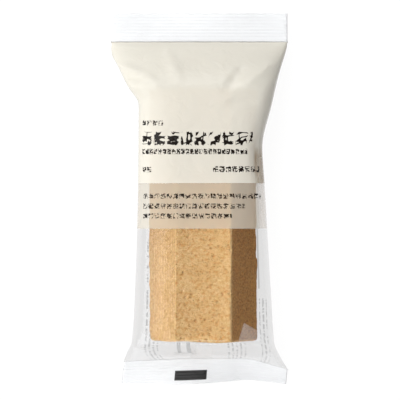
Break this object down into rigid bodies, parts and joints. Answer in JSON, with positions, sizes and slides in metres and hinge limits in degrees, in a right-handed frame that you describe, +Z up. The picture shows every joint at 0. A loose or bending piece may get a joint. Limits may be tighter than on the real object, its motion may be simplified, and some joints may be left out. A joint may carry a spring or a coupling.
{
  "type": "baumkuchen",
  "caption": "Baumkuchen bar sealed in a clear flow bag with a plain printed upper half, crimped end seals and a flat back seam, lying on its back.",
  "frame": {"origin": "on the surface that the bag lies on, below the middle of its outline", "axes": "+Y along the bag's length towards its head seal, +X across it to the right as its front is seen, +Z up, out of its front"},
  "size_m": [0.0902, 0.1887, 0.0318],
  "materials": {
    "printed_film": "clear glossy film, the upper half printed cream",
    "cake": "golden sponge in thin baked layers, seen through the film"
  },
  "bodies": {
    "root": {"sealed_bag": "printed_film"}
  },
  "joints": []
}
